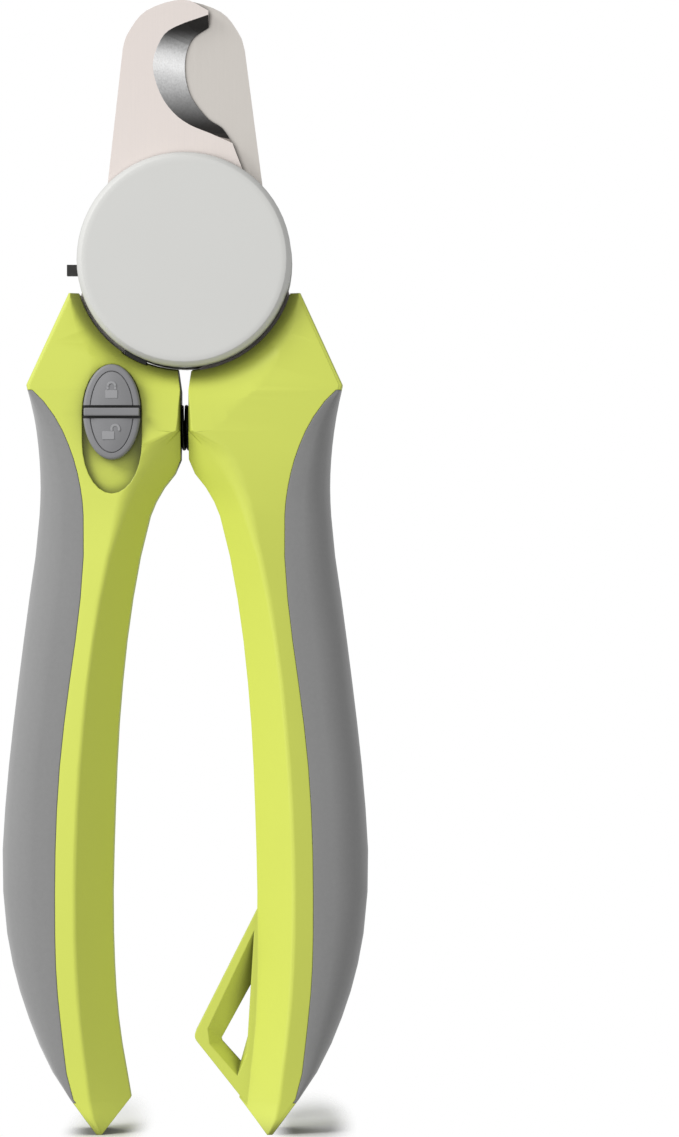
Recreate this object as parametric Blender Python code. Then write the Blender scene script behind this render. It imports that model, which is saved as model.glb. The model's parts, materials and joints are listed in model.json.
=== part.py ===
"""Scissor nail clipper for pets: two steel blades crossing on one pivot bolt, each
carried by a two-shell plastic handle with a soft grip. Metres, +Z towards the blade
tips, the round front cap facing -Y. The pivot axis runs along Y through x = z = 0 and
the flat face of the rear cap is at y = 0.
"""

import math

import bmesh
import bpy
import numpy as np
from mathutils import Vector

MM = 0.001
GAP = 0.15  # clearance left between two pieces that touch
SEAM_GAP = 0.05  # clearance between a grip and the shells that it is moulded on
SPLIT = 0.15  # half of the parting gap between the front and rear shells
MID_Y = -8.9  # y of the sliding plane between the two blades

# Caps, bolt and washers
CAP_R = 15.55
CAP_FACE = 8.9  # cap face from the sliding plane
CAP_PLATE = 2.0
CAP_WALL = 1.35
CAP_EDGE = 0.7
SKIRT_FRONT = 2.6
SKIRT_REAR = 4.45
POST_R = 2.3
POST_END = 5.3  # the caps' middle posts stop here
BOLT_HEAD_R = 7.0
BOLT_R = 4.0
BORE_R = 4.06
SOCKET_R = 2.6
SPACER_R = 11.8
NUT_R = 7.5
WASHER_R = 15.4

# Blades
BLADE_NEAR = 0.15
BLADE_FAR = 2.3
HUB_R = 15.2
HEAD_CORNER = (8.85, 31.0)
HEAD_TOP = 38.1
BLADE_SHIFT = -0.2  # the two cutting edges meet this far left of the pivot
RELIEF = (252.0, 209.5)  # angles between which the hub clears the lock finger
RELIEF_R = 11.95
FINGER = (-8.6, -5.6)
TANG_END = -47.0

# Guard
GUARD_NEAR = 2.6
GUARD_FAR = 3.6
GUARD_R = 11.0

# Handles
FRONT_CUT_R = 16.1  # the shells stop here, round the caps
REAR_CUT_R = 15.75
HEAD_DISH = ((0.0, 4.6), (1.2, 5.6), (3.0, 6.35), (5.5, 6.85), (9.0, 7.2))  # beyond the cut, y
CLEAR_Y = 12.0  # a cutter that ends here is clear of every face
HORN_X = 16.9  # the horn beside each cap, where a handle starts
HORN_Z = -4.8
GAP_HALF = 0.6
GAP_FLARE = ((-18.9, GAP_HALF), (-12.0, 1.5))
TIP_X = 12.0
TIP_Z = -126.9
TIP_LAND = 0.9  # width left at the tip
STEP = 0.02  # how far the bare shell stands in from the grip's outline
WALL = 1.9  # thickness of the shells round their hollow
LOOP_HALF = 2.5  # half thickness of the hanging loop
LOOP_HOLE = ((9.8, -105.0), (5.3, -113.2), (5.4, -113.6), (8.1, -116.6), (9.1, -113.0))
LOOP_MOUTH = ((10.1, -97.0), (3.2, -111.6), (3.5, -114.0), (7.6, -118.7), (9.0, -115.5))
LOOP_LAND = 0.6  # half thickness of the band at the hole
SHOULDER_Z = -18.1
GRIP_TOP = -18.9
GRIP_END = -122.3
GRIP_T = 2.2  # thickness of a grip
EDGE = 0.6  # rounding of the bare outer edges
ARC_STEPS = 5
FACE_TILT = 0.24  # fall of the face from ridge to seam, for each mm across
MOST_FALL = 0.9
RIDGE_ROUND = ((-24.8, 2.6), (-31.0, 1.8), (-42.0, 0.7), (-60.0, 0.45), (-126.9, 0.4))

OUTER = ((-18.1, 23.0), (-21.3, 22.3), (-26.6, 21.5), (-32.0, 21.15), (-40.6, 21.6), (-49.3, 22.8),
         (-61.6, 24.4), (-75.0, 25.9), (-88.7, 26.7), (-96.7, 26.2), (-103.7, 24.9),
         (-110.7, 22.7), (-117.7, 19.5), (-122.9, 15.9))
SEAM = ((-18.1, 22.9), (-19.6, 21.2), (-23.1, 18.5), (-26.6, 16.8), (-33.6, 14.9), (-40.6, 14.5),
        (-49.3, 15.0), (-61.6, 16.6), (-70.4, 17.7), (-93.1, 18.7), (-105.4, 18.4),
        (-112.4, 17.7), (-119.4, 16.8), (-122.9, 15.9))
RIDGE = ((-24.8, 1.1), (-26.3, 3.7), (-28.8, 5.7), (-31.2, 7.0), (-37.1, 9.2), (-45.8, 11.5),
         (-56.4, 13.4), (-70.4, 14.9), (-88.8, 15.8), (-98.4, 15.8), (-112.4, 14.9),
         (-119.4, 14.0), (-124.7, 13.2), (-126.9, 12.35))
INNER = ((-30.0, 0.6), (-31.8, 2.2), (-35.3, 4.4), (-40.6, 6.0), (-49.3, 7.7), (-61.6, 9.2),
         (-82.0, 10.3), (-97.5, 10.5), (-112.4, 9.5), (-119.4, 8.3), (-126.9, 7.0))
HALF_DEPTH = ((-4.8, 6.1), (-16.0, 6.7), (-30.0, 7.0), (-60.0, 7.3), (-90.0, 7.2), (-112.0, 6.4),
              (-126.9, 5.2))
INNER_DEPTH = ((-24.0, 0.93), (-25.5, 0.80), (-27.0, 0.66), (-30.0, 0.46), (-36.0, 0.44),
               (-60.0, 0.42), (-90.0, 0.36), (-126.9, 0.26))
END_CUT = ((-121.8, 7.9), (TIP_Z, TIP_X))  # the slanting end: z and x of its two corners

# Lock
SLOT_X = -10.45
SLOT_HALF = 4.35
SLOT_ENDS = ((-22.1, 7.0), (-26.4, 7.5))  # z and height of the half ellipse at each end
SLOT_FLOOR = 5.8
BUTTON_W = 8.3
BUTTON_H = 13.8
BUTTON_Z = -22.1
SLIDE_FACE = 4.3
POCKET_FACE = 4.7

# Return spring
SPRING_Z = -24.2
SPRING_R = 3.35
SPRING_WIRE = 0.28
SPRING_HALF = 4.9
SPRING_TURNS = 12
SPRING_POCKET_R = 3.75

# Screws: x distance from the middle, and z
SCREWS = {"top": (11.4, -41.5), "mid": (16.2, -78.0), "low": (14.9, -113.0)}
SCREW_HEAD_R = 2.6
SCREW_SHANK_R = 1.15
SCREW_SEAT = 3.2
POSTS = {"mid": (2.9, 4.6), "low": (2.6, 3.6)}  # radius and height of the screw posts

LOOKS = {  # colour, metallic, roughness
    "green": ((0.60, 0.72, 0.12), 0.0, 0.40),
    "grip": ((0.25, 0.25, 0.26), 0.0, 0.80),
    "cap": ((0.67, 0.67, 0.65), 0.0, 0.45),
    "steel": ((0.72, 0.70, 0.67), 1.0, 0.35),
    "black": ((0.02, 0.02, 0.022), 0.0, 0.50),
    "button": ((0.24, 0.24, 0.25), 0.0, 0.55),
}


def clear_scene():
    for obj in list(bpy.data.objects):
        bpy.data.objects.remove(obj, do_unlink=True)


def collection(name):
    found = bpy.data.collections.new(name)
    bpy.context.scene.collection.children.link(found)
    return found


def anchor(name, location, parent=None):
    """An empty on the axis or rail that a group of pieces moves about."""
    empty = bpy.data.objects.new(name, None)
    PART.objects.link(empty)
    empty.location = Vector(location) * MM
    empty.parent = parent
    return empty


def material(name, look):
    colour, metallic, roughness = LOOKS[look]
    made = bpy.data.materials.new(name)
    made.use_nodes = True
    shader = made.node_tree.nodes["Principled BSDF"]
    shader.inputs["Base Color"].default_value = (*colour, 1.0)
    shader.inputs["Metallic"].default_value = metallic
    shader.inputs["Roughness"].default_value = roughness
    return made


def made_object(name, bm, place, group=None, look=None, smooth=None):
    """One object from a bmesh held in millimetres, its faces turned outward."""
    bmesh.ops.recalc_face_normals(bm, faces=bm.faces)
    bmesh.ops.scale(bm, vec=(MM, MM, MM), verts=bm.verts)
    mesh = bpy.data.meshes.new(name)
    bm.to_mesh(mesh)
    bm.free()
    obj = bpy.data.objects.new(name, mesh)
    place.objects.link(obj)
    obj.parent = group or BODY
    if look:
        mesh.materials.append(material(name, look))
    if smooth:
        mesh.shade_smooth()
        mesh.set_sharp_from_angle(angle=math.radians(smooth))
    return obj


def piece(name, bm, group, look, smooth=None):
    return made_object(name, bm, PART, group, look, smooth)


def cutter(name, bm):
    obj = made_object(name, bm, TOOLS)
    obj.hide_render = True
    obj.display_type = "WIRE"
    return obj


def boolean(target, tool, operation="DIFFERENCE"):
    modifier = target.modifiers.new(f"{operation.lower()} {tool.name}", "BOOLEAN")
    modifier.operation = operation
    modifier.solver = "EXACT"
    modifier.object = tool


def arc(centre, radius, start, end, steps):
    """Points of an arc in the XZ plane, angles in degrees from +X towards +Z."""
    angles = np.radians(np.linspace(start, end, steps + 1))
    return [(centre[0] + radius * math.cos(a), centre[1] + radius * math.sin(a)) for a in angles]


def through(knots, steps):
    """A smooth line through the knots: a Catmull-Rom curve, its end tangents free."""
    points = [Vector(k) for k in knots]
    points = [2 * points[0] - points[1], *points, 2 * points[-1] - points[-2]]
    line = []
    for a, b, c, d in zip(points, points[1:], points[2:], points[3:]):
        for step in range(steps):
            t = step / steps
            line.append(0.5 * (2 * b + (c - a) * t + (2 * a - 5 * b + 4 * c - d) * t * t
                               + (3 * b - a - 3 * c + d) * t ** 3))
    return [tuple(p) for p in (*line, points[-2])]


def profile(knots, z):
    """The smooth value at height z of a curve given by (z, value) knots from top to bottom."""
    heights = np.array([k[0] for k in knots])
    values = np.array([k[1] for k in knots])
    if z >= heights[0]:
        return values[0]
    if z <= heights[-1]:
        return values[-1]
    slopes = np.gradient(values, heights)
    i = int(np.searchsorted(-heights, -z, side="right")) - 1
    step = heights[i + 1] - heights[i]
    t = (z - heights[i]) / step
    return ((1 + 2 * t) * (1 - t) ** 2 * values[i] + t * (1 - t) ** 2 * step * slopes[i]
            + t * t * (3 - 2 * t) * values[i + 1] + t * t * (t - 1) * step * slopes[i + 1])


def bridged(rings):
    """A closed solid through rings that hold the same number of points."""
    bm = bmesh.new()
    rows = [[bm.verts.new(point) for point in ring] for ring in rings]
    count = len(rows[0])
    for low, high in zip(rows, rows[1:]):
        for i in range(count):
            bm.faces.new((low[i], low[(i + 1) % count], high[(i + 1) % count], high[i]))
    bm.faces.new(rows[0])
    bm.faces.new(rows[-1])
    return bm


def slab(outline, near, far):
    """An outline in the XZ plane made solid between two depths."""
    return bridged([[(x, y, z) for x, z in outline] for y in (near, far)])


def block(x, y, z):
    """A box from three (low, high) ranges."""
    return slab([(x[0], z[0]), (x[1], z[0]), (x[1], z[1]), (x[0], z[1])], *y)


def turned(profile_points, segments, centre=(0.0, 0.0)):
    """A solid of revolution about a line along Y: (radius, y) points round its half section."""
    bm = bmesh.new()
    verts = [bm.verts.new((centre[0] + r, y, centre[1])) for r, y in profile_points]
    pairs = list(zip(verts, verts[1:] + verts[:1]))
    if profile_points[0][0] == profile_points[-1][0] == 0.0:
        pairs.pop()
    edges = [bm.edges.new(pair) for pair in pairs]
    bmesh.ops.spin(bm, geom=verts + edges, cent=(centre[0], 0, centre[1]), axis=(0, 1, 0),
                   angle=math.tau, steps=segments, use_merge=True)
    bmesh.ops.remove_doubles(bm, verts=bm.verts, dist=1e-4)
    return bm


def rod(radius, near, far, segments=32, centre=(0.0, 0.0)):
    """A plain cylinder along Y."""
    return slab(arc(centre, radius, 0, 360, segments)[:-1], near, far)


def lying_rod(radius, left, right, z, segments=28):
    """A plain cylinder along X at height z."""
    circle = arc((0, z), radius, 0, 360, segments)[:-1]
    return bridged([[(x, y, height) for y, height in circle] for x in (left, right)])


def joined(*solids):
    """Several solids held in one bmesh, as one cutter of parts that don't meet."""
    whole = bmesh.new()
    for solid in solids:
        mesh = bpy.data.meshes.new("joined")
        solid.to_mesh(mesh)
        solid.free()
        whole.from_mesh(mesh)
        bpy.data.meshes.remove(mesh)
    return whole


# Handles -----------------------------------------------------------------------------


def outer_edge(z):
    if z > SHOULDER_Z:
        return float(np.interp(z, (SHOULDER_Z, HORN_Z), (OUTER[0][1], HORN_X)))
    if z > OUTER[-1][0]:
        return profile(OUTER, z)
    return float(np.interp(z, (TIP_Z, OUTER[-1][0]), (TIP_X + TIP_LAND, OUTER[-1][1])))


def inner_edge(z):
    """The inner side, before the slanting end is cut."""
    if z > INNER[0][0]:
        return float(np.interp(z, *zip(*GAP_FLARE)))
    return profile(INNER, z)


def end_cut(z):
    return float(np.interp(z, *zip(*END_CUT[::-1])))


def section(z, gripped):
    """The outline numbers of a handle at height z, as a dict."""
    outer = outer_edge(z)
    uncut = inner_edge(z)
    inner = max(uncut, end_cut(z)) if z < END_CUT[0][0] else uncut
    edge = min(profile(SEAM, z), outer - EDGE) if gripped else outer - EDGE
    width = outer - edge
    depth = profile(HALF_DEPTH, z)
    thickness = min(GRIP_T, 0.7 * width - 0.1) if gripped else 0.0
    ridge = min(max(profile(RIDGE, z), uncut + EDGE / 2), edge - EDGE / 2)
    face_end = max(profile(SEAM, z), edge) if z < SHOULDER_Z else edge
    fall = min(FACE_TILT * (face_end - ridge), MOST_FALL)
    crest = depth + fall / 2
    inner_depth = depth * profile(INNER_DEPTH, z)
    climb = min((inner - uncut) / (ridge - uncut), 0.9) if ridge > uncut else 0.0
    return {
        "z": z,
        "outer": outer,
        "inner": inner,
        "edge": edge,
        "width": width,
        "depth": crest - fall * (edge - ridge) / (face_end - ridge),
        "crest": crest,
        "thickness": thickness,
        "ridge": ridge,
        "round": float(np.interp(-z, [-k[0] for k in RIDGE_ROUND], [k[1] for k in RIDGE_ROUND])),
        "inner_depth": inner_depth + climb * (crest - inner_depth),
        "fullness": float(np.interp(width, (EDGE, 4.0), (0.35, 0.78))),
    }


def rounded_side(s, inset):
    """Points from the edge of the flat face round to the middle of the outer side."""
    points = []
    for angle in np.radians(np.linspace(0, 90, ARC_STEPS + 1)):
        out = s["edge"] + (s["width"] - inset) * math.sin(angle) ** s["fullness"]
        points.append((out, (s["depth"] - inset) * math.cos(angle) ** s["fullness"]))
    return points


def ridge_bend(s):
    """The rounded ridge between the slope to the inner side and the face: a parabola."""
    ridge = Vector((s["ridge"], s["crest"]))
    slope = Vector((s["inner"], s["inner_depth"])) - ridge
    face = Vector((s["edge"], s["depth"])) - ridge
    reach = min(s["round"], 0.45 * slope.length, 0.45 * face.length)
    slope = slope.normalized() * reach
    face = face.normalized() * reach
    return [tuple(ridge + slope * (1 - t) ** 2 + face * t * t) for t in (0.0, 1 / 3, 2 / 3, 1.0)]


def half_section(s):
    """The shell's outline from the parting gap, round the front, back to the gap."""
    inset = s["thickness"] + SEAM_GAP if s["thickness"] else STEP
    side = [(u, max(v, SPLIT)) for u, v in rounded_side(s, inset)]
    return [(s["inner"], SPLIT), (s["inner"], s["inner_depth"]), *ridge_bend(s),
            (s["edge"], s["depth"]), *side]


def grip_section(s):
    """The grip's C-shaped outline: round the outside, then back along its inner face."""
    seam = s["edge"] + SEAM_GAP
    outside = [(max(u, seam), v) for u, v in rounded_side(s, 0.0)]
    inside = [(max(u, seam), v) for u, v in rounded_side(s, s["thickness"])]
    around = outside + [(u, -v) for u, v in outside[-2::-1]]
    return around + [(u, -v) for u, v in inside[:-1]] + inside[::-1]


def cavity_section(s):
    """The hollow inside a shell, a wall's thickness in from its faces."""
    left = s["inner"] + WALL
    right = s["edge"] + s["width"] - s["thickness"] - GAP - WALL
    depth = s["depth"] - WALL - 0.2
    low = s["inner_depth"] - WALL / 2
    ridge = s["ridge"] + WALL / 2
    corner = min(s["edge"], right - 0.5)
    return [(left, -1.0), (left, low), (ridge, depth), (corner, depth - 1.8),
            (right, low), (right, -1.0)]


def levels(top, end, count):
    return list(np.linspace(top, end, count))


def shell_levels():
    """(z, gripped) of each section of a shell from the horn to the tip."""
    plain = [HORN_Z, -12.0, SHOULDER_Z, GRIP_TOP + 0.05]
    held = [GRIP_TOP, -20.5, -22.7, *levels(-24.8, -37.1, 7), *levels(-43.0, -98.0, 10),
            *levels(-102.5, -118.0, 5), END_CUT[0][0], GRIP_END]
    tip = [GRIP_END - 0.05, -124.6, TIP_Z]
    return ([(z, False) for z in plain] + [(z, True) for z in held] + [(z, False) for z in tip])


def placed(outline, side, face, z):
    return [(side * u, face * v, z) for u, v in outline]


def shell_solid(side, face):
    return bridged([placed(half_section(section(z, held)), side, face, z)
                    for z, held in shell_levels()])


def cavity_solid(side, face, top, end):
    return bridged([placed(cavity_section(section(z, True)), side, face, z)
                    for z in levels(top, end, 6)])


def grip_solid(side):
    return bridged([placed(grip_section(section(z, True)), side, 1, z)
                    for z, held in shell_levels() if held])


def loop_outline():
    corner = arc((2.73, -112.74), 1.3, 218.4, 153.3, 4)
    return [(10.9, -93.6), (14.0, -96.0), (14.0, -121.0), (11.6, -126.0), *corner]


def loop_hole(face):
    """The hole through the loop, which widens towards the face."""
    rings = ((LOOP_HOLE, -1.0), (LOOP_HOLE, LOOP_LAND), (LOOP_MOUTH, LOOP_HALF + 0.1))
    return bridged([[(x, face * y, z) for x, z in outline] for outline, y in rings])


def make_head_cuts():
    """The round clearance for the caps with the hollow slope that leads down to it."""
    for face, name, radius in ((-1, "front", FRONT_CUT_R), (1, "rear", REAR_CUT_R)):
        dish = [(radius + beyond, face * y) for beyond, y in HEAD_DISH]
        outline = [(0.0, face * CLEAR_Y), (0.0, -face * 0.5), (radius, -face * 0.5), *dish,
                   (dish[-1][0], face * CLEAR_Y)]
        cutter(f"cut_{name}_head", turned(outline, 72))


def make_handles():
    make_head_cuts()
    cutter("cut_spring_pocket",
           lying_rod(SPRING_POCKET_R, -SPRING_HALF - 0.4, SPRING_HALF + 0.4, SPRING_Z))
    for side, handle, group in ((-1, "left", BODY), (1, "right", SWING)):
        for face, name in ((-1, "front"), (1, "rear")):
            node = f"{handle}_{name}_shell"
            shell = piece(node, shell_solid(side, face), group, "green")
            if side > 0:
                near, far = sorted((face * SPLIT, face * LOOP_HALF))
                boolean(shell, cutter(f"loop_{name}", slab(loop_outline(), near, far)), "UNION")
                boolean(shell, cutter(f"cut_loop_{name}", loop_hole(face)))
            boolean(shell, bpy.data.objects[f"cut_{name}_head"])
            boolean(shell, bpy.data.objects["cut_spring_pocket"])
            hollow = cavity_solid(side, face, -50.0, -117.0)
            boolean(shell, cutter(f"cut_{node}_hollow", hollow))
            add_bosses(shell, node, side, face)
        piece(f"{handle}_grip", grip_solid(side), group, "grip", smooth=40)
    cut_tang_pockets()
    cut_lock_pocket()


def add_bosses(shell, node, side, face):
    """Screw posts inside the hollow, then the screw holes: seats behind, blind holes in front."""
    posts = []
    holes = []
    for place, (x, z) in SCREWS.items():
        centre = (side * x, z)
        if place in POSTS:
            radius, height = POSTS[place]
            posts.append(rod(radius, *sorted((face * SPLIT, face * height)), 16, centre))
        if face < 0:
            holes.append(rod(SCREW_SHANK_R + 0.15, -4.2, 1.0, 16, centre))
        else:
            holes.append(turned([(0.0, -1.0), (SCREW_SHANK_R + 0.2, -1.0),
                                 (SCREW_SHANK_R + 0.2, SCREW_SEAT),
                                 (SCREW_HEAD_R + 0.25, SCREW_SEAT),
                                 (SCREW_HEAD_R + 0.25, 9.0), (0.0, 9.0)], 16, centre))
    boolean(shell, cutter(f"posts_{node}", joined(*posts)), "UNION")
    boolean(shell, cutter(f"cut_screws_{node}", joined(*holes)))


def make_screws():
    for side, handle, group in ((-1, "left", BODY), (1, "right", SWING)):
        for place, (x, z) in SCREWS.items():
            top = SCREW_SEAT + 0.1
            outline = [(0.0, -3.4), (0.5, -3.4), (SCREW_SHANK_R, -2.6), (SCREW_SHANK_R, top),
                       (SCREW_HEAD_R, top), (SCREW_HEAD_R, top + 0.7),
                       (SCREW_HEAD_R - 0.9, top + 1.6), (0.0, top + 1.8)]
            screw = piece(f"{handle}_screw_{place}", turned(outline, 16, (side * x, z)), group,
                          "steel", smooth=40)
            x_range = (side * x - 0.35, side * x + 0.35)
            x_long = (side * x - 1.35, side * x + 1.35)
            depth = (top + 0.75, top + 3.0)
            for name, across, up in (("a", x_long, (z - 0.35, z + 0.35)),
                                     ("b", x_range, (z - 1.35, z + 1.35))):
                boolean(screw, cutter(f"cut_{handle}_{place}_{name}", block(across, depth, up)))


# Blades ------------------------------------------------------------------------------


def head_outline(recess):
    """The blade's head as drawn for the blade whose body is on -X: tip first, then recess."""
    crown = through([(-HEAD_CORNER[0], HEAD_CORNER[1]), (-8.1, 33.2), (-5.4, 36.5),
                     (-0.1, HEAD_TOP), (3.6, 36.5)], 4)
    return crown + recess


def blade_rings(side, tang):
    """The outlines of a blade's face and back; the ground bevel runs between them."""
    face_recess = through([(3.6, 35.9), (-1.3, 34.1), (-3.3, 32.3), (-4.5, 28.6), (-3.45, 24.5),
                           (-1.55, 21.7), (0.8, 19.9), (3.9, 18.6), (7.1, 17.2)], 3)
    edge_recess = through([(3.6, 34.2), (1.5, 32.8), (0.45, 30.9), (0.1, 28.3), (0.5, 25.5),
                           (1.5, 23.3), (3.6, 20.8), (5.6, 19.5), (7.15, 17.1)], 3)
    rings = []
    for recess in (face_recess, edge_recess):
        head = [(side * x + BLADE_SHIFT, z) for x, z in head_outline(recess)]
        rings.append(head + tang)
    return rings


def front_tang():
    """Hub and tang of the front blade, whose tang runs down into the right handle."""
    return (arc((0, 0), HUB_R, 55, -13, 12) + [(15.75, -6.6), (15.3, -30.0), (13.9, TANG_END),
            (9.4, TANG_END), (7.6, -34.0), (6.5, -20.6), (2.2, -18.4), (2.2, -15.1)]
            + arc((0, 0), HUB_R, 276, RELIEF[0], 4)
            + arc((0, 0), RELIEF_R, *RELIEF, 6)
            + arc((0, 0), HUB_R, RELIEF[1], 138.5, 12))


def rear_tang():
    """Hub and tang of the rear blade, whose tang runs down into the left handle."""
    return (arc((0, 0), HUB_R, 125, 193, 12) + [(-15.75, -6.6), (-15.3, -30.0),
            (-13.9, TANG_END), (-9.4, TANG_END), (-8.6, -34.0), (-8.8, -20.6), (-8.8, -12.8)]
            + arc((0, 0), HUB_R, 238, 401.5, 28))


def make_blades():
    bore = cutter("cut_bore", rod(BORE_R, -8.0, 8.0, 40))
    for name, side, group, tang, face in (
            ("front_blade", 1, SWING, front_tang(), -1), ("rear_blade", -1, BODY, rear_tang(), 1)):
        face_ring, edge_ring = blade_rings(side, tang)
        blade = piece(name, bridged([
            [(x, face * BLADE_FAR, z) for x, z in face_ring],
            [(x, face * BLADE_NEAR, z) for x, z in edge_ring]]), group, "steel")
        boolean(blade, bore)
        x, z = SCREWS["top"]
        hole = rod(SCREW_SHANK_R + 0.6, -8.0, 8.0, 20, (side * x, z))
        boolean(blade, cutter(f"cut_{name}_screw", hole))


# Pivot, caps and guard -----------------------------------------------------------------


def cap_section(face, skirt):
    """Half section of a cap: dished cup, rolled edge, post in the middle."""
    inner_face = CAP_FACE - CAP_PLATE
    points = [(0.0, CAP_FACE), (CAP_R - CAP_EDGE * 2.2, CAP_FACE),
              (CAP_R - CAP_EDGE, CAP_FACE - 0.2), (CAP_R - 0.2, CAP_FACE - 0.75),
              (CAP_R, CAP_FACE - 1.5), (CAP_R, skirt), (CAP_R - CAP_WALL, skirt),
              (CAP_R - CAP_WALL, inner_face), (POST_R, inner_face), (POST_R, POST_END),
              (0.0, POST_END)]
    return [(r, face * y) for r, y in points]


def make_caps():
    front = piece("front_cap", turned(cap_section(-1, SKIRT_FRONT), 64), BODY, "cap", smooth=35)
    boolean(front, cutter("cut_cap_notch", block(
        (FINGER[0] - 0.5, FINGER[1] + 0.5), (-SLIDE_FACE - 0.4, 0.0), (-18.0, -9.0))))
    piece("rear_cap", turned(cap_section(1, SKIRT_REAR), 64), BODY, "cap", smooth=35)


def make_pivot():
    bolt = [(0.0, -4.6), (SOCKET_R, -4.6), (SOCKET_R, -5.9), (BOLT_HEAD_R - 0.5, -5.9),
            (BOLT_HEAD_R, -5.4), (BOLT_HEAD_R, -4.75), (BOLT_R, -4.75), (BOLT_R, 6.0),
            (BOLT_R - 0.5, 6.5), (SOCKET_R, 6.5), (SOCKET_R, 5.1), (0.0, 5.1)]
    piece("pivot_bolt", turned(bolt, 32), BODY, "steel", smooth=35)
    rings = {"front_spacer": (SPACER_R, -4.5, -2.55, "cap"),
             "guard_washer": (WASHER_R, 3.85, 4.3, "black")}
    for name, (radius, near, far, look) in rings.items():
        ring = piece(name, rod(radius, near, far, 48), BODY, look)
        boolean(ring, bpy.data.objects["cut_bore"])
    nut = piece("pivot_nut", slab(arc((0, 0), NUT_R, 0, 360, 6)[:-1], 4.55, 6.3), BODY, "steel")
    boolean(nut, bpy.data.objects["cut_bore"])


def make_guard():
    plate_top = through([(-5.2, 26.5), (-4.6, 30.6), (-1.8, 33.6), (1.8, 33.6), (4.6, 30.6),
                         (5.2, 26.5)], 3)
    outline = ([(5.2, 9.9)] + arc((0, 0), GUARD_R, 60, -170, 30)
               + [(-15.3, -1.65), (-17.0, -1.65), (-17.0, -0.55), (-15.3, -0.55)]
               + arc((0, 0), GUARD_R, 178.5, 120, 8) + [(-5.2, 9.9)] + plate_top)
    plate = piece("guard_plate", slab(outline, GUARD_NEAR, GUARD_FAR), GUARD, "steel")
    boolean(plate, bpy.data.objects["cut_bore"])
    tab = piece("guard_tab", block((-17.4, -15.6), (GUARD_NEAR - 0.6, GUARD_FAR + 0.6),
                                   (-1.9, -0.3)), GUARD, "black")
    socket = block((-17.15, -15.0), (GUARD_NEAR - GAP / 2, GUARD_FAR + GAP / 2), (-1.8, -0.4))
    boolean(tab, cutter("cut_tab_socket", socket))


# Lock and spring -----------------------------------------------------------------------


def cut_tang_pockets():
    """Room for each blade's tang in the shell on its side of the sliding plane."""
    pockets = {"right_front_shell": (-1, [(1.7, -10.0), (16.2, -1.0), (15.7, -30.0),
                                          (14.4, TANG_END - 0.5), (8.9, TANG_END - 0.5),
                                          (7.1, -34.0), (6.1, -21.1), (1.7, -18.9)]),
               "left_rear_shell": (1, [(-8.3, -10.0), (-16.2, -1.0), (-15.7, -30.0),
                                       (-14.4, TANG_END - 0.5), (-8.9, TANG_END - 0.5),
                                       (-8.1, -34.0), (-8.3, -20.6)])}
    for node, (face, outline) in pockets.items():
        near, far = sorted((-face * 1.0, face * (BLADE_FAR + 0.3)))
        boolean(bpy.data.objects[node], cutter(f"cut_tang_{node}", slab(outline, near, far)))


def slot_outline(steps=14):
    """The button's slot: half an ellipse at each end of two straight sides."""
    outline = []
    for (z, height), start in zip(SLOT_ENDS, (0, 180)):
        turn = arc((0.0, 0.0), 1.0, start, start + 180, steps)
        outline += [(SLOT_X + SLOT_HALF * x, z + height * up) for x, up in turn]
    return outline


def cut_lock_pocket():
    """The slot the button runs in, its stem's opening, and the room for the slide behind."""
    shell = bpy.data.objects["left_front_shell"]
    recess = slab(slot_outline(), -9.0, -SLOT_FLOOR)
    boolean(shell, cutter("cut_lock_recess", recess))
    boolean(shell, cutter("cut_lock_stem", block((-11.75, -9.15), (-7.0, -3.0), (-28.5, -20.3))))
    pocket = [(-9.1, -10.0), (-5.4, -10.0), (-5.4, -26.6), (-7.6, -26.6), (-7.6, -36.2),
              (-14.9, -36.2), (-14.9, -18.9), (-9.1, -18.9)]
    boolean(shell, cutter("cut_lock_pocket", slab(pocket, -POCKET_FACE, 1.0)))


def make_lock():
    rim = SLOT_FLOOR + 0.2
    dome = [(1.0, rim), (1.0, 7.6), (0.97, 8.0), (0.9, 8.15), (0.8, 8.15), (0.78, 7.95),
            (0.4, 8.3), (0.0, 8.4)]
    rings = []
    for scale, depth in dome[:-1]:
        rings.append([(SLOT_X + scale * BUTTON_W / 2 * math.cos(a), -depth,
                       BUTTON_Z + scale * BUTTON_H / 2 * math.sin(a))
                      for a in np.linspace(0, math.tau, 37)[:-1]])
    button = piece("lock_button", bridged(rings), LOCK, "button", smooth=40)
    bar = block((SLOT_X - BUTTON_W / 2 + 0.4, SLOT_X + BUTTON_W / 2 - 0.4), (-8.75, -7.0),
                (-22.6, -21.4))
    boolean(button, cutter("button_bar", bar), "UNION")
    stem = block((-11.45, -9.45), (-rim - 0.5, -3.2), (-23.6, -20.6))
    boolean(button, cutter("button_stem", stem), "UNION")
    outline = [(-8.6, -10.9), (-5.6, -10.9), (-5.6, -19.5), (-8.0, -21.2), (-8.0, -30.5),
               (-13.2, -30.5), (-13.2, -19.3), (-8.6, -19.3)]
    slide = piece("lock_slide", slab(outline, -SLIDE_FACE, -0.4), LOCK, "black")
    socket = block((-11.6, -9.3), (-5.0, -3.0), (-23.75, -20.45))
    boolean(slide, cutter("cut_slide_socket", socket))
    strip = [(-14.6, -19.2), (-14.6, -24.0), (-13.5, -26.0), (-14.6, -28.0), (-14.6, -35.8)]
    back = [(x + 0.28, z) for x, z in reversed(strip)]
    piece("lock_detent_spring", slab([(x - 0.1, z) for x, z in strip] + back, -3.6, -1.6),
          BODY, "steel")


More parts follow.
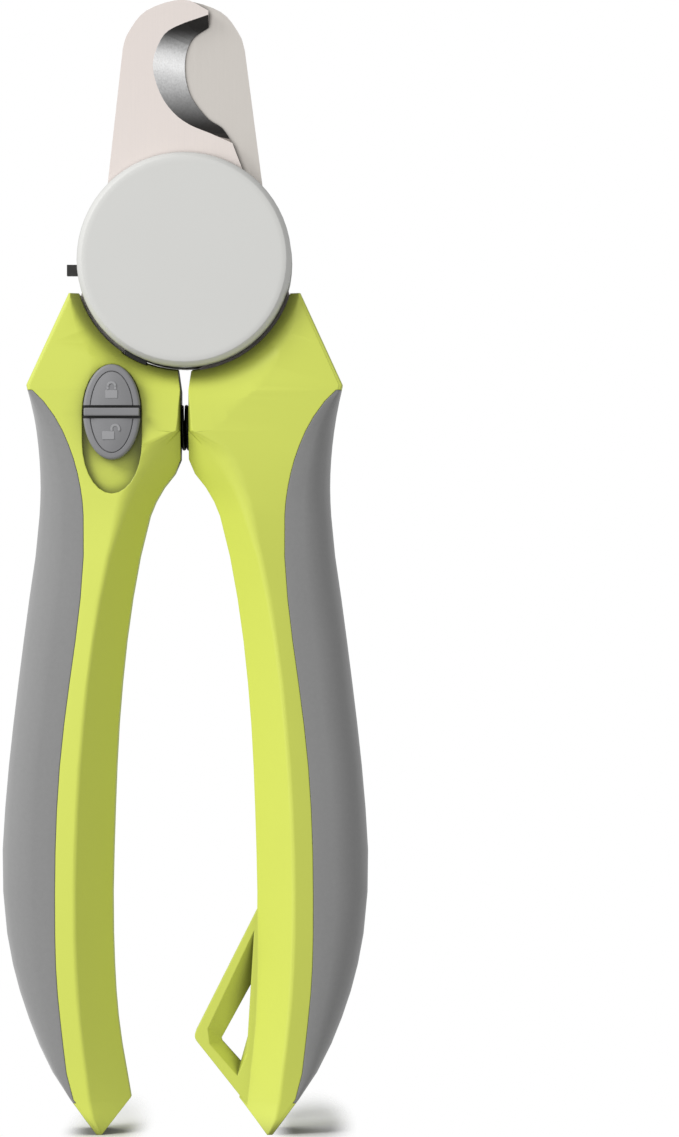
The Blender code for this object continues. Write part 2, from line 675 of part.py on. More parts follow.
def make_spring():
    """The compression coil that opens the handles, its wire closed by filled caps."""
    count = SPRING_TURNS * 10
    curve = bpy.data.curves.new("return_spring", "CURVE")
    curve.dimensions = "3D"
    curve.bevel_depth = SPRING_WIRE * MM
    curve.bevel_resolution = 1
    curve.use_fill_caps = True
    spline = curve.splines.new("POLY")
    spline.points.add(count)
    mean = SPRING_R - SPRING_WIRE
    for i, point in enumerate(spline.points):
        angle = math.tau * SPRING_TURNS * i / count
        x = -SPRING_HALF + SPRING_WIRE + 2 * (SPRING_HALF - SPRING_WIRE) * i / count
        point.co = (x * MM, mean * math.cos(angle) * MM,
                    (SPRING_Z + mean * math.sin(angle)) * MM, 1.0)
    curve.materials.append(material("return_spring", "black"))
    spring = bpy.data.objects.new("return_spring", curve)
    PART.objects.link(spring)
    spring.parent = BODY


clear_scene()
PART = collection("scissor_nail_clipper")
TOOLS = collection("cutters")
BODY = anchor("fixed_group", (0.0, MID_Y, 0.0))
SWING = anchor("pivot_axis", (0.0, 0.0, 0.0), BODY)
GUARD = anchor("guard_axis", (0.0, 0.0, 0.0), BODY)
LOCK = anchor("lock_rail", (0.0, 0.0, 0.0), BODY)
make_blades()
make_handles()
make_screws()
make_caps()
make_pivot()
make_guard()
make_lock()
make_spring()
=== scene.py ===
"""Scissor nail clipper: the finished look of the clipper around its CAD frame.

Every piece is made in the frame's own metres: +Z towards the blade tips, the front cap
facing -Y. The pieces are grouped by operator: shells, grips, blades, caps, lock, spring,
guard and fasteners, then the stage.
"""

import json
import math

import bmesh
import bpy
from bpy.props import FloatProperty, FloatVectorProperty, PointerProperty
from mathutils import Matrix, Vector


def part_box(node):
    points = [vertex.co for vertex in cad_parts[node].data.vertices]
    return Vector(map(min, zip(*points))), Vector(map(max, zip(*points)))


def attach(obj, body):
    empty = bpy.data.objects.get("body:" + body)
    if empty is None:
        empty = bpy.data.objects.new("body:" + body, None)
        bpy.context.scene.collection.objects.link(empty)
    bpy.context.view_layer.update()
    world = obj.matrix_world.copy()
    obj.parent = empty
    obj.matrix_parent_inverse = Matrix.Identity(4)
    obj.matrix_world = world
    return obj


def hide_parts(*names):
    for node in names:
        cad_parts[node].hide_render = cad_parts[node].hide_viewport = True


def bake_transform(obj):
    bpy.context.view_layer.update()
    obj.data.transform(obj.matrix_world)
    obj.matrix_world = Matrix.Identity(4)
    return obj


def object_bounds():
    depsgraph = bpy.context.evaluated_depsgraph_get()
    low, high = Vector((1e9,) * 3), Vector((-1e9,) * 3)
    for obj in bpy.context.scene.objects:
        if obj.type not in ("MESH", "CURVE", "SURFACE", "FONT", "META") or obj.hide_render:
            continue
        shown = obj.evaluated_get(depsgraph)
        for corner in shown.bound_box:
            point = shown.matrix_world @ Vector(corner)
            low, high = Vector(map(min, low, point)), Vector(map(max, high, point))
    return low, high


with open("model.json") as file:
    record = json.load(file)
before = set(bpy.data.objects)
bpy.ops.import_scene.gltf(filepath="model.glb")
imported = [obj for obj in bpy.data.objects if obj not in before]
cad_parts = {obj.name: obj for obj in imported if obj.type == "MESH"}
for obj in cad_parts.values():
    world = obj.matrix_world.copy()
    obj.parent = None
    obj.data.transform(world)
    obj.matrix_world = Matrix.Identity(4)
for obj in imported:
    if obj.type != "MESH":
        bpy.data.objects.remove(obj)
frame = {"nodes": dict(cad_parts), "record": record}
CAD_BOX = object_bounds()

bl_info = {
    "name": "Scissor nail clipper",
    "version": (1, 0, 0),
    "blender": (4, 5, 0),
    "location": "3D View > Sidebar > Clipper",
    "description": "Makes the finished pieces of a scissor nail clipper and its stage",
    "category": "Object",
}

MM = 0.001
PIVOT = Vector(frame["record"]["behaviour"]["joints"][0]["pos_m"])
LEFT, RIGHT, LOCK, GUARD = "left_handle", "right_handle", "lock", "guard"
SHARP = 32.0  # degrees over which an edge stays crisp
MERGE = 2e-6
COPLANAR = math.radians(0.2)
VIEW_HEIGHT = 166.0 * MM  # height of the picture at the pivot
VIEW_CENTRE = (22.5 * MM, -44.75 * MM)  # its centre, right of the pivot and up from it
PATCH_X = 15.0 * MM  # half the distance between the patches of floor at the handles' tips
PATCH_SHIFT = 3.4 * MM  # the patches lie this far right of the tips, where the shadows fall
PATCH_SCALE = (1 / (7 * MM), 1 / (60 * MM), 0.0)  # half width and half length, inverted
PAINTED_SHEEN_RISE = (19.0 * MM, 26.5 * MM)  # z over which the painted reflection on the ground edges turns from dark to bright
PAINTED_SHEEN_FALL = (30.0 * MM, 34.0 * MM)  # and back to dark
GROUND_FOOT = 16.5 * MM  # z over which a slanted face of a blade is its ground edge
GROUND_SLANT = (0.3, 0.98)  # how far such a face looks along y
SHUT_IN = 0.35  # share of open sky at which a corner's painted shade is at its darkest
FLOOR_HALF = 30.0  # metres
FLOOR_GLOW = 0.04
WORLD_LIGHT = 0.46
LENS = 180.0  # focal length and sensor width of the camera, in millimetres
SENSOR = 36.0

# The button, in millimetres from its front or its middle
BUTTON_FACE = 0.65  # the ring's flat face, behind the front of the bar
BUTTON_DEPTH = 2.2  # from that face to the button's foot
WAIST_HALF = 0.95  # half height of the gap in which the bar stands
BAR_INSET = 0.14  # the bar ends this far inside the button
BAR_ROUND = 0.18
CLOSED_AT = (0.0, 2.55)  # x and z of each padlock
OPEN_AT = (-0.45, -3.4)
LOCK_HALF = (0.87, 0.6)  # half width and half height of a padlock's body
SHACKLE_RADIUS = 0.55
SHACKLE_WIDTH = 0.34
SHACKLE_RISE = {"closed": 1.15, "open": 0.95}  # its middle, over the body's
SHACKLE_AWAY = {"closed": 0.0, "open": 1.0}  # and how far it is swung aside
SHACKLE_ARC = {"closed": (0.0, 180.0), "open": (math.degrees(-0.6), 250.0)}  # start and sweep
SPRING_TURNS = 14
TURN_STEPS = 32


def linear(code):
    """An sRGB hex colour as linear red, green and blue."""
    values = [int(code[i:i + 2], 16) / 255 for i in (1, 3, 5)]
    return tuple(v / 12.92 if v <= 0.04045 else ((v + 0.055) / 1.055) ** 2.4 for v in values)


# Settings ------------------------------------------------------------------------------


def length(name, description, default_mm):
    return FloatProperty(name=name, description=description, default=default_mm * MM,
                         unit="LENGTH", subtype="DISTANCE", precision=5)


def colour(name, description, code):
    return FloatVectorProperty(name=name, description=description, default=linear(code),
                               subtype="COLOR", min=0.0, max=1.0)


class ClipperSizes(bpy.types.PropertyGroup):
    """Sizes of the pieces that are made here."""

    button_rim: length("Button rim", "Width of the flat ring round the button", 0.95)
    button_groove: length("Button groove", "Width of the groove inside the ring", 0.13)
    button_rise: length("Button rise", "How far the button's panel is domed", 0.30)
    bar_height: length("Thumb bar", "Height of the raised bar across the button", 1.15)
    icon_relief: length("Padlock relief", "How far the padlocks stand off the button", 0.05)
    spring_wire: length("Spring wire", "Radius of the spring's wire", 0.28)
    edge_round: length("Edge rounding", "Radius that softens the moulded edges", 0.25)


class ClipperColours(bpy.types.PropertyGroup):
    """Colours of the pieces."""

    green: colour("Shell green", "Moulded shells", "#D0DA5C")
    grip: colour("Grip grey", "Soft grips", "#888888")
    cap: colour("Cap grey", "Round caps", "#D2D2CF")
    steel: colour("Blade steel", "Front blade and plates", "#E8DFDA")
    # painted shade: the rear blade's steel is a darker copy of the front blade's
    rear_painted_shade_steel: colour("Rear blade steel", "Rear blade", "#D4CFC9")
    ground: colour("Ground steel", "Ground edge of the blades", "#E6E3E0")
    button: colour("Button grey", "Lock button", "#858587")
    black: colour("Black", "Tab, slide and spring", "#1A1A1A")
    padlock: colour("Padlock grey", "Padlocks on the button", "#9A9A9C")
    floor: colour("Floor", "Floor under the clipper", "#F6F6F6")


# Materials -----------------------------------------------------------------------------


def add_node(tree, kind, settings=None, links=None):
    """One node, with its settings by attribute or socket name, and its inputs linked."""
    node = tree.nodes.new(kind)
    for key, value in (settings or {}).items():
        if key in node.inputs.keys():
            node.inputs[key].default_value = value
        else:
            setattr(node, key, value)
    for key, socket in (links or {}).items():
        tree.links.new(socket, node.inputs[key])
    return node


def new_material(name, base, roughness, metallic=0.0, ior=None):
    """A Principled material and its tree, shader and Object coordinates."""
    made = bpy.data.materials.new(name)
    made.use_nodes = True
    tree = made.node_tree
    shader = tree.nodes["Principled BSDF"]
    shader.inputs["Base Color"].default_value = (*base, 1.0)
    shader.inputs["Roughness"].default_value = roughness
    shader.inputs["Metallic"].default_value = metallic
    if ior:
        shader.inputs["IOR"].default_value = ior
    place = add_node(tree, "ShaderNodeTexCoord").outputs["Object"]
    return made, tree, shader, place


def noise_of(tree, place, size_mm, detail=3.0, stretch=(1, 1, 1)):
    """Noise whose grains are size_mm across."""
    spread = add_node(tree, "ShaderNodeMapping", {"Scale": stretch}, {"Vector": place})
    return add_node(tree, "ShaderNodeTexNoise",
                    {"Scale": 1 / (size_mm * MM), "Detail": detail},
                    {"Vector": spread.outputs["Vector"]}).outputs["Fac"]


def tinted(tree, shader, base, factor, low, high):
    """The base colour lightened and darkened by a pattern, from low to high times itself."""
    ramp = add_node(tree, "ShaderNodeMix", {"data_type": "RGBA"}, {"Factor": factor})
    ramp.inputs[6].default_value = (*[c * low for c in base], 1.0)
    ramp.inputs[7].default_value = (*[min(c * high, 1.0) for c in base], 1.0)
    tree.links.new(ramp.outputs[2], shader.inputs["Base Color"])


def ramped(tree, value, low, high, low_result=0.0, high_result=1.0):
    """A value eased from one range to another, and held at the ends."""
    settings = {"interpolation_type": "SMOOTHSTEP", "From Min": low, "From Max": high,
                "To Min": low_result, "To Max": high_result}
    return add_node(tree, "ShaderNodeMapRange", settings, {"Value": value}).outputs["Result"]


def rough_range(tree, shader, factor, low, high):
    """Roughness that follows a pattern between two values."""
    node = add_node(tree, "ShaderNodeMapRange", {"To Min": low, "To Max": high}, {"Value": factor})
    tree.links.new(node.outputs["Result"], shader.inputs["Roughness"])


def bumped(tree, shader, height, depth_mm, edge=None):
    """Fine relief depth_mm deep, over edges softened to the radius edge."""
    links = {"Height": height}
    if edge:
        links["Normal"] = add_node(tree, "ShaderNodeBevel", {"samples": 6, "Radius": edge}).outputs[0]
    bump = add_node(tree, "ShaderNodeBump", {"Strength": 1.0, "Distance": depth_mm * MM}, links)
    tree.links.new(bump.outputs["Normal"], shader.inputs["Normal"])


def painted_hollow_shade(tree, shader, reach_mm, deepest):
    """Painted shade: the base colour darkened in corners and slots by their share of open sky, down to
    deepest times itself.
    """
    socket = shader.inputs["Base Color"]
    plain = socket.links[0].from_socket
    open_sky = add_node(tree, "ShaderNodeAmbientOcclusion",
                        {"samples": 12, "Distance": reach_mm * MM}).outputs["AO"]
    level = ramped(tree, open_sky, SHUT_IN, 1.0, deepest, 1.0)
    dimmed = add_node(tree, "ShaderNodeVectorMath", {"operation": "SCALE"},
                      {"Vector": plain, "Scale": level})
    tree.links.new(dimmed.outputs[0], socket)


def moulded_abs_green(colours, sizes):
    """ABS from a lightly spark-eroded mould: even satin, soft highlights on the edges, and painted
    shade in its corners and recesses.
    """
    base = tuple(colours.green)
    made, tree, shader, place = new_material("moulded_abs_green", base, 0.42, ior=1.46)
    tinted(tree, shader, base, noise_of(tree, place, 9.0), 0.985, 1.015)
    # painted shade: the recess, the slot and the ring round the cap darkened
    painted_hollow_shade(tree, shader, 3.5, 0.35)
    grain = noise_of(tree, place, 0.5, 4.0)
    rough_range(tree, shader, grain, 0.38, 0.48)
    bumped(tree, shader, grain, 0.004, sizes.edge_round)
    return made


def soft_tpe_grey(colours, sizes):
    """TPE moulded over the shells: matt, with a fine sandy grain and no clear highlight."""
    base = tuple(colours.grip)
    made, tree, shader, place = new_material("soft_tpe_grey", base, 0.78, ior=1.48)
    grain = noise_of(tree, place, 0.6, 5.0)  # coarser than the real 0.1 mm, so that it shows
    tinted(tree, shader, base, grain, 0.95, 1.06)
    rough_range(tree, shader, grain, 0.72, 0.86)
    bumped(tree, shader, grain, 0.015, sizes.edge_round)
    shader.inputs["Specular IOR Level"].default_value = 0.35
    shader.inputs["Sheen Weight"].default_value = 0.6
    shader.inputs["Sheen Roughness"].default_value = 0.5
    return made


def satin_cap_plastic(colours, sizes):
    """ABS with a satin light-grey coat: broad soft sheen and hardly any grain."""
    base = tuple(colours.cap)
    made, tree, shader, place = new_material("satin_cap_plastic", base, 0.40, ior=1.46)
    tinted(tree, shader, base, noise_of(tree, place, 12.0), 0.99, 1.01)
    grain = noise_of(tree, place, 0.4, 3.0)
    rough_range(tree, shader, grain, 0.34, 0.44)
    bumped(tree, shader, grain, 0.002, sizes.edge_round)
    return made


def brushed_stainless(colours, sizes):
    """Stainless sheet, brushed along the blade: warm grey with faint upright streaks."""
    return brushed_sheet("brushed_stainless", tuple(colours.steel))


def painted_shade_stainless(colours, sizes):
    """The rear blade's sheet, of the same brushing, coloured darker than the front blade's: painted
    shade on the same steel.
    """
    return brushed_sheet("painted_shade_stainless", tuple(colours.rear_painted_shade_steel))


def brushed_sheet(name, base):
    made, tree, shader, place = new_material(name, base, 0.42, metallic=1.0)
    streak = noise_of(tree, place, 0.35, 3.0, (1.0, 1.0, 0.03))
    tinted(tree, shader, base, streak, 0.95, 1.04)
    # painted shade: the joint where the front blade lies on the rear one, and other corners, darkened
    painted_hollow_shade(tree, shader, 0.9, 0.08)
    rough_range(tree, shader, streak, 0.36, 0.50)
    bumped(tree, shader, streak, 0.003)
    return made


def ground_edge_steel(colours, sizes):
    """The hollow-ground cutting edge: steel crossed by the wheel's fine scratches, with a painted
    reflection set by height, dark at the ends and bright between.
    """
    base = tuple(colours.ground)
    made, tree, shader, place = new_material("ground_edge_steel", base, 0.35, metallic=1.0)
    scratch = noise_of(tree, place, 0.28, 4.0, (1.0, 1.0, 0.8))
    height = add_node(tree, "ShaderNodeSeparateXYZ", links={"Vector": place}).outputs["Z"]
    # painted reflection: the edge's brightness rises and falls with height, not with the lamps
    rise = ramped(tree, height, *PAINTED_SHEEN_RISE, 0.03, 1.0)
    fall = ramped(tree, height, *PAINTED_SHEEN_FALL, 1.0, 0.03)
    sheen = add_node(tree, "ShaderNodeMath", {"operation": "MULTIPLY"}, {0: rise, 1: fall})
    flecked = add_node(tree, "ShaderNodeMapRange", {"To Min": 0.55, "To Max": 1.0}, {"Value": scratch})
    scratched_painted_sheen = add_node(tree, "ShaderNodeMath", {"operation": "MULTIPLY"},
                     {0: flecked.outputs["Result"], 1: sheen.outputs[0]})
    tinted(tree, shader, base, scratched_painted_sheen.outputs[0], 0.05, 1.35)
    rough_range(tree, shader, scratch, 0.28, 0.48)
    bumped(tree, shader, scratch, 0.012)
    return made


def nickel_plated_steel(colours, sizes):
    """Nickel-plated screws, bolt and nut: brighter and smoother than the blades."""
    base = tuple(colours.ground)
    made, tree, shader, place = new_material("nickel_plated_steel", base, 0.28, metallic=1.0)
    wear = noise_of(tree, place, 0.8, 4.0)
    tinted(tree, shader, base, wear, 0.92, 1.03)
    rough_range(tree, shader, wear, 0.22, 0.36)
    return made


def button_pom_grey(colours, sizes):
    """Moulded POM, the button's plastic: matt grey with a fine even grain."""
    return moulded_pom("button_pom_grey", tuple(colours.button), sizes)


def worn_pom_grey(colours, sizes):
    """The same POM where the raised padlocks are rubbed: a little lighter, so that they read."""
    return moulded_pom("worn_pom_grey", tuple(colours.padlock), sizes)


def moulded_pom(name, base, sizes):
    made, tree, shader, place = new_material(name, base, 0.55, ior=1.48)
    grain = noise_of(tree, place, 0.35, 4.0)
    tinted(tree, shader, base, grain, 0.97, 1.03)
    rough_range(tree, shader, grain, 0.50, 0.62)
    bumped(tree, shader, grain, 0.004, sizes.edge_round / 2)
    return made


def black_nylon(colours, sizes):
    """Glass-filled nylon, moulded black: dull, with a faint mottled grain."""
    base = tuple(colours.black)
    made, tree, shader, place = new_material("black_nylon", base, 0.5, ior=1.53)
    grain = noise_of(tree, place, 0.4, 4.0)
    tinted(tree, shader, base, grain, 0.8, 1.25)
    bumped(tree, shader, grain, 0.006)
    return made


def black_oxide_wire(colours, sizes):
    """Spring wire in black oxide: near black with a soft metallic line along the coil."""
    base = tuple(c * 0.7 for c in colours.black)
    made, tree, shader, place = new_material("black_oxide_wire", base, 0.38, metallic=0.6)
    drawn = noise_of(tree, place, 0.3, 3.0)
    rough_range(tree, shader, drawn, 0.3, 0.5)
    tinted(tree, shader, base, drawn, 0.7, 1.3)
    return made


MAKERS = {"green_plastic": moulded_abs_green, "grip_rubber": soft_tpe_grey,
          "cap_plastic": satin_cap_plastic, "blade_steel": brushed_stainless,
          "rear_painted_shade_steel": painted_shade_stainless,
          "ground": ground_edge_steel, "fastener": nickel_plated_steel,
          "button_plastic": button_pom_grey, "padlock_plastic": worn_pom_grey,
          "black_plastic": black_nylon,
          "black_spring": black_oxide_wire}


def finish_named(key):
    """The material of a finish, made the first time that it is asked for."""
    scene = bpy.context.scene
    made = bpy.data.materials.get(scene.get(f"clipper_{key}", ""))
    if made is None:
        made = MAKERS[key](scene.clipper_colours, scene.clipper_sizes)
        scene[f"clipper_{key}"] = made.name
    return made


# Shapes --------------------------------------------------------------------------------


def piece(name, bm, body, key, stands_for=(), smooth=SHARP, ride=True):
    """A finished piece from a bmesh: faces outward, shaded, given its material and body."""
    bmesh.ops.recalc_face_normals(bm, faces=bm.faces)
    for edge in bm.edges:
        edge.smooth = edge.calc_face_angle(0.0) < math.radians(smooth)
    mesh = bpy.data.meshes.new(name)
    bm.to_mesh(mesh)
    bm.free()
    if mesh.has_custom_normals:
        mesh.attributes.remove(mesh.attributes["custom_normal"])
    mesh.polygons.foreach_set("use_smooth", [True] * len(mesh.polygons))
    obj = bpy.data.objects.new(name, mesh)
    bpy.context.scene.collection.objects.link(obj)
    mesh.materials.append(finish_named(key))
    obj.modifiers.new("flat faces stay flat", "WEIGHTED_NORMAL").keep_sharp = True
    if stands_for:
        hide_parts(*stands_for)
    if ride:
        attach(obj, body)
    return obj


def worked(node):
    """A merged copy of a CAD node's triangles, its flat faces joined up."""
    bm = bmesh.new()
    bm.from_mesh(frame["nodes"][node].data)
    bmesh.ops.remove_doubles(bm, verts=bm.verts, dist=MERGE)
    bmesh.ops.dissolve_degenerate(bm, edges=bm.edges, dist=MERGE)
    bmesh.ops.dissolve_limit(bm, angle_limit=COPLANAR, verts=bm.verts, edges=bm.edges)
    return bm


def worked_pieces(nodes, body, key, smooth=SHARP):
    return [piece(f"{node}_finish", worked(node), body, key, (node,), smooth) for node in nodes]


def oval(bm, centre, half_width, half_height, depth, sides):
    """A ring of edges, an ellipse in the XZ plane at depth y."""
    placed = (Matrix.Translation((centre.x, depth, centre.z))
              @ Matrix.Diagonal((half_width, 1.0, half_height, 1.0))
              @ Matrix.Rotation(math.pi / 2, 4, "X"))
    made = bmesh.ops.create_circle(bm, segments=sides, radius=1.0, matrix=placed)
    return list({e for v in made["verts"] for e in v.link_edges})


def stacked_ovals(centre, rings, sides=96):
    """A closed solid through ellipses (half width, half height, depth), ends filled."""
    bm = bmesh.new()
    loops = [oval(bm, centre, *ring, sides) for ring in rings]
    for low, high in zip(loops, loops[1:]):
        bmesh.ops.bridge_loops(bm, edges=low + high)
    for end in (loops[0], loops[-1]):
        bmesh.ops.contextual_create(bm, geom=end)
    return bm


def rounded_box(low, high, radius, segments=3):
    """A box between two corners with its edges rounded."""
    low, high = Vector(low), Vector(high)
    bm = bmesh.new()
    size = high - low
    bmesh.ops.create_cube(bm, size=1.0, matrix=Matrix.Translation((low + high) / 2)
                          @ Matrix.Diagonal((*size, 1.0)))
    bmesh.ops.bevel(bm, geom=bm.edges[:], offset=radius, affect="EDGES", segments=segments,
                    profile=0.5, material=-1)
    return bm


def ring_part(centre, radius, width, depth, start, sweep, steps=20):
    """Part of a flat ring in the XZ plane: a small rectangle spun about the centre."""
    bm = bmesh.new()
    placed = Matrix.Translation(centre + Vector((radius, 0.0, 0.0))) @ Matrix.Diagonal(
        (width, depth, 1.0, 1.0))
    made = bmesh.ops.create_grid(bm, x_segments=1, y_segments=1, size=0.5, matrix=placed)
    bmesh.ops.rotate(bm, verts=made["verts"], cent=centre,
                     matrix=Matrix.Rotation(-start, 3, "Y"))
    bmesh.ops.spin(bm, geom=bm.faces[:], cent=centre, axis=(0, -1, 0), angle=sweep,
                   steps=steps, use_duplicate=False)
    return bm


# Operators -----------------------------------------------------------------------------


class CLIPPER_OT_shells(bpy.types.Operator):
    """Gives the four handle shells their moulded finish"""

    bl_idname = "clipper.shells"
    bl_label = "Handle shells"

    def execute(self, context):
        worked_pieces(("left_front_shell", "left_rear_shell"), LEFT, "green_plastic")
        worked_pieces(("right_front_shell", "right_rear_shell"), RIGHT, "green_plastic")
        return {"FINISHED"}


class CLIPPER_OT_grips(bpy.types.Operator):
    """Makes the two soft grips"""

    bl_idname = "clipper.grips"
    bl_label = "Soft grips"

    def execute(self, context):
        worked_pieces(("left_grip",), LEFT, "grip_rubber", 50.0)
        worked_pieces(("right_grip",), RIGHT, "grip_rubber", 50.0)
        return {"FINISHED"}


class CLIPPER_OT_blades(bpy.types.Operator):
    """Makes the two blades, brushed on the flats and ground at the cutting edge"""

    bl_idname = "clipper.blades"
    bl_label = "Blades"

    def execute(self, context):
        # the rear blade takes the darker steel, painted shade
        for node, body, key in (("front_blade", RIGHT, "blade_steel"),
                                ("rear_blade", LEFT, "rear_painted_shade_steel")):
            blade = worked_pieces((node,), body, key, 14.0)[0]
            blade.data.materials.append(finish_named("ground"))
            for face in blade.data.polygons:
                slanted = GROUND_SLANT[0] < abs(face.normal.y) < GROUND_SLANT[1]
                if slanted and face.center.z > GROUND_FOOT:
                    face.material_index = 1
        return {"FINISHED"}


class CLIPPER_OT_caps(bpy.types.Operator):
    """Makes the round caps over the pivot"""

    bl_idname = "clipper.caps"
    bl_label = "Pivot caps"

    def execute(self, context):
        worked_pieces(("front_cap", "rear_cap"), LEFT, "cap_plastic")
        return {"FINISHED"}


class CLIPPER_OT_lock(bpy.types.Operator):
    """Makes the lock button with its thumb bar and padlocks, and the slide behind it"""

    bl_idname = "clipper.lock"
    bl_label = "Thumb lock"

    def execute(self, context):
        sizes = context.scene.clipper_sizes
        low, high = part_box("lock_button")
        centre = (low + high) / 2
        half_width = (high.x - low.x) / 2
        half_height = (high.z - low.z) / 2
        face = low.y + BUTTON_FACE * MM
        foot = face + BUTTON_DEPTH * MM
        waist = WAIST_HALF * MM
        rim, groove = sizes.button_rim, sizes.button_groove

        def ring(inset, depth):
            return (half_width - inset, half_height - inset, depth)

        dome = face - sizes.button_rise
        rings = [ring(0.0, foot), ring(0.0, face + 0.45 * MM), ring(0.07 * MM, face + 0.2 * MM),
                 ring(0.22 * MM, face + 0.05 * MM), ring(0.4 * MM, face), ring(rim, face - 0.02 * MM),
                 ring(rim + 0.01 * MM, face + 0.22 * MM), ring(rim + groove, face + 0.22 * MM),
                 ring(rim + groove + 0.01 * MM, face - 0.02 * MM),
                 ring(rim + 0.6 * MM, face - 0.10 * MM), ring(rim + 1.3 * MM, dome + 0.06 * MM),
                 ring(half_width - 0.7 * MM, dome)]
        for name, side in (("button_upper_panel", 1), ("button_lower_panel", -1)):
            bm = stacked_ovals(centre, rings)
            cut = bmesh.ops.bisect_plane(bm, geom=bm.verts[:] + bm.edges[:] + bm.faces[:],
                                         plane_co=centre + Vector((0, 0, side * waist)),
                                         plane_no=(0, 0, -side), clear_outer=True)
            edges = [g for g in cut["geom_cut"] if isinstance(g, bmesh.types.BMEdge)]
            bmesh.ops.holes_fill(bm, edges=edges)
            stands = ("lock_button",) if side > 0 else ()
            piece(name, bm, LOCK, "button_plastic", stands)
        bm = stacked_ovals(centre, [ring(0.0, foot), ring(0.0, face + 0.6 * MM)])
        for side in (1, -1):
            bmesh.ops.bisect_plane(bm, geom=bm.verts[:] + bm.edges[:] + bm.faces[:],
                                   plane_co=centre + Vector((0, 0, side * (waist - 0.02 * MM))),
                                   plane_no=(0, 0, side), clear_outer=True)
            bmesh.ops.holes_fill(bm, edges=bm.edges)
        piece("button_waist", bm, LOCK, "black_plastic")
        half_bar = sizes.bar_height / 2
        reach = half_width - BAR_INSET * MM
        bar = rounded_box((centre.x - reach, low.y, centre.z - half_bar),
                          (centre.x + reach, face + 1.0 * MM, centre.z + half_bar),
                          BAR_ROUND * MM)
        piece("button_bar", bar, LOCK, "button_plastic")
        for state, (across, up) in (("closed", CLOSED_AT), ("open", OPEN_AT)):
            self.padlock(state, centre + Vector((across, 0, up)) * MM, dome, sizes)
        worked_pieces(("lock_slide",), LOCK, "black_plastic")
        worked_pieces(("lock_detent_spring",), LEFT, "fastener")
        return {"FINISHED"}

    def padlock(self, state, centre, panel, sizes):
        """A low-relief padlock: a body and a shackle, swung aside on the open one."""
        front = panel - sizes.icon_relief
        back = panel + 0.2 * MM
        half_width, half_height = LOCK_HALF[0] * MM, LOCK_HALF[1] * MM
        body = rounded_box((centre.x - half_width, front, centre.z - half_height),
                           (centre.x + half_width, back, centre.z + half_height), 0.05 * MM, 2)
        piece(f"padlock_{state}_body", body, LOCK, "padlock_plastic")
        middle = Vector((centre.x + SHACKLE_AWAY[state] * MM, (front + back) / 2,
                         centre.z + SHACKLE_RISE[state] * MM))
        radius, width = SHACKLE_RADIUS * MM, SHACKLE_WIDTH * MM
        start, sweep = (math.radians(angle) for angle in SHACKLE_ARC[state])
        shackle = ring_part(middle, radius, width, back - front, start, sweep)
        piece(f"padlock_{state}_shackle", shackle, LOCK, "padlock_plastic")
        if state == "open":
            return
        for side, word in ((1, "right"), (-1, "left")):
            leg = middle.x + side * radius
            post = rounded_box((leg - width / 2, front, centre.z + half_height + 0.05 * MM),
                               (leg + width / 2, back, middle.z - 0.02 * MM), 0.02 * MM, 1)
            piece(f"padlock_{state}_leg_{word}", post, LOCK, "padlock_plastic")


class CLIPPER_OT_spring(bpy.types.Operator):
    """Winds the return spring between the handles"""

    bl_idname = "clipper.spring"
    bl_label = "Return spring"

    def execute(self, context):
        wire = context.scene.clipper_sizes.spring_wire
        low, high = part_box("return_spring")
        centre = (low + high) / 2
        mean = (high.y - low.y) / 2 - wire
        curve = bpy.data.curves.new("return_coil", "CURVE")
        curve.dimensions = "3D"
        curve.bevel_depth = wire
        curve.bevel_resolution = 3
        curve.use_fill_caps = True
        spline = curve.splines.new("POLY")
        spline.points.add(SPRING_TURNS * TURN_STEPS)
        run = high.x - low.x - 2 * wire
        for i, point in enumerate(spline.points):
            angle = math.tau * i / TURN_STEPS
            along = low.x + wire + run * i / (SPRING_TURNS * TURN_STEPS)
            point.co = (along, centre.y + mean * math.cos(angle),
                        centre.z + mean * math.sin(angle), 1.0)
        holder = bpy.data.objects.new("coil_guide", curve)
        context.scene.collection.objects.link(holder)
        evaluated = holder.evaluated_get(context.evaluated_depsgraph_get())
        bm = bmesh.new()
        bm.from_mesh(bpy.data.meshes.new_from_object(evaluated))
        bpy.data.objects.remove(holder)
        bmesh.ops.remove_doubles(bm, verts=bm.verts, dist=1e-6)
        coil = piece("return_coil", bm, LEFT, "black_spring", ("return_spring",), 60.0, ride=False)
        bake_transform(coil)
        return {"FINISHED"}


class CLIPPER_OT_guard(bpy.types.Operator):
    """Makes the nail guard behind the blades and its tab"""

    bl_idname = "clipper.guard"
    bl_label = "Nail guard"

    def execute(self, context):
        worked_pieces(("guard_plate",), GUARD, "blade_steel")
        worked_pieces(("guard_tab",), GUARD, "black_plastic")
        return {"FINISHED"}


class CLIPPER_OT_fasteners(bpy.types.Operator):
    """Makes the pivot bolt, nut and washers and the handle screws"""

    bl_idname = "clipper.fasteners"
    bl_label = "Bolt and screws"

    def execute(self, context):
        worked_pieces(("pivot_bolt", "pivot_nut"), LEFT, "fastener")
        # painted shade: the guard washer is made black so that the ring gap round the front cap reads
        # dark
        worked_pieces(("guard_washer",), LEFT, "black_plastic")
        worked_pieces(("front_spacer",), LEFT, "cap_plastic")
        for side, body in (("left", LEFT), ("right", RIGHT)):
            names = [f"{side}_screw_{place}" for place in ("top", "mid", "low")]
            worked_pieces(names, body, "fastener")
        return {"FINISHED"}


